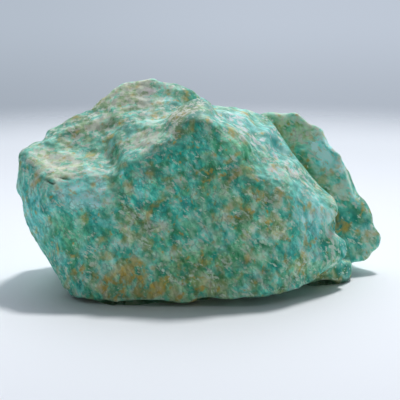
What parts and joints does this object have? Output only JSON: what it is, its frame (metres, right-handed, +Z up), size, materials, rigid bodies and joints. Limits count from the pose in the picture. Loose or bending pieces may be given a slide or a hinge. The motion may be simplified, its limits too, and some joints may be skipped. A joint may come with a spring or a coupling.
{
  "type": "raw amazonite stone",
  "caption": "Rough broken lump of mottled blue-green amazonite with a steep front face, a stepped top and a jagged slab at one end.",
  "frame": {"origin": "centre of the bounding box in X and Y, at the table that the lump rests on", "axes": "+Z up; +X along the lump's length, from its low ledge end to its jagged slab end; the broad steep front face looks towards -Y"},
  "size_m": [0.073, 0.0418, 0.0396],
  "materials": {
    "amazonite": "broken, unpolished microcline feldspar: mottled teal and mint green with cream flecks and streaks and ochre rust stains, dull to faintly waxy"
  },
  "bodies": {
    "root": {"amazonite_lump": "amazonite"}
  },
  "joints": []
}
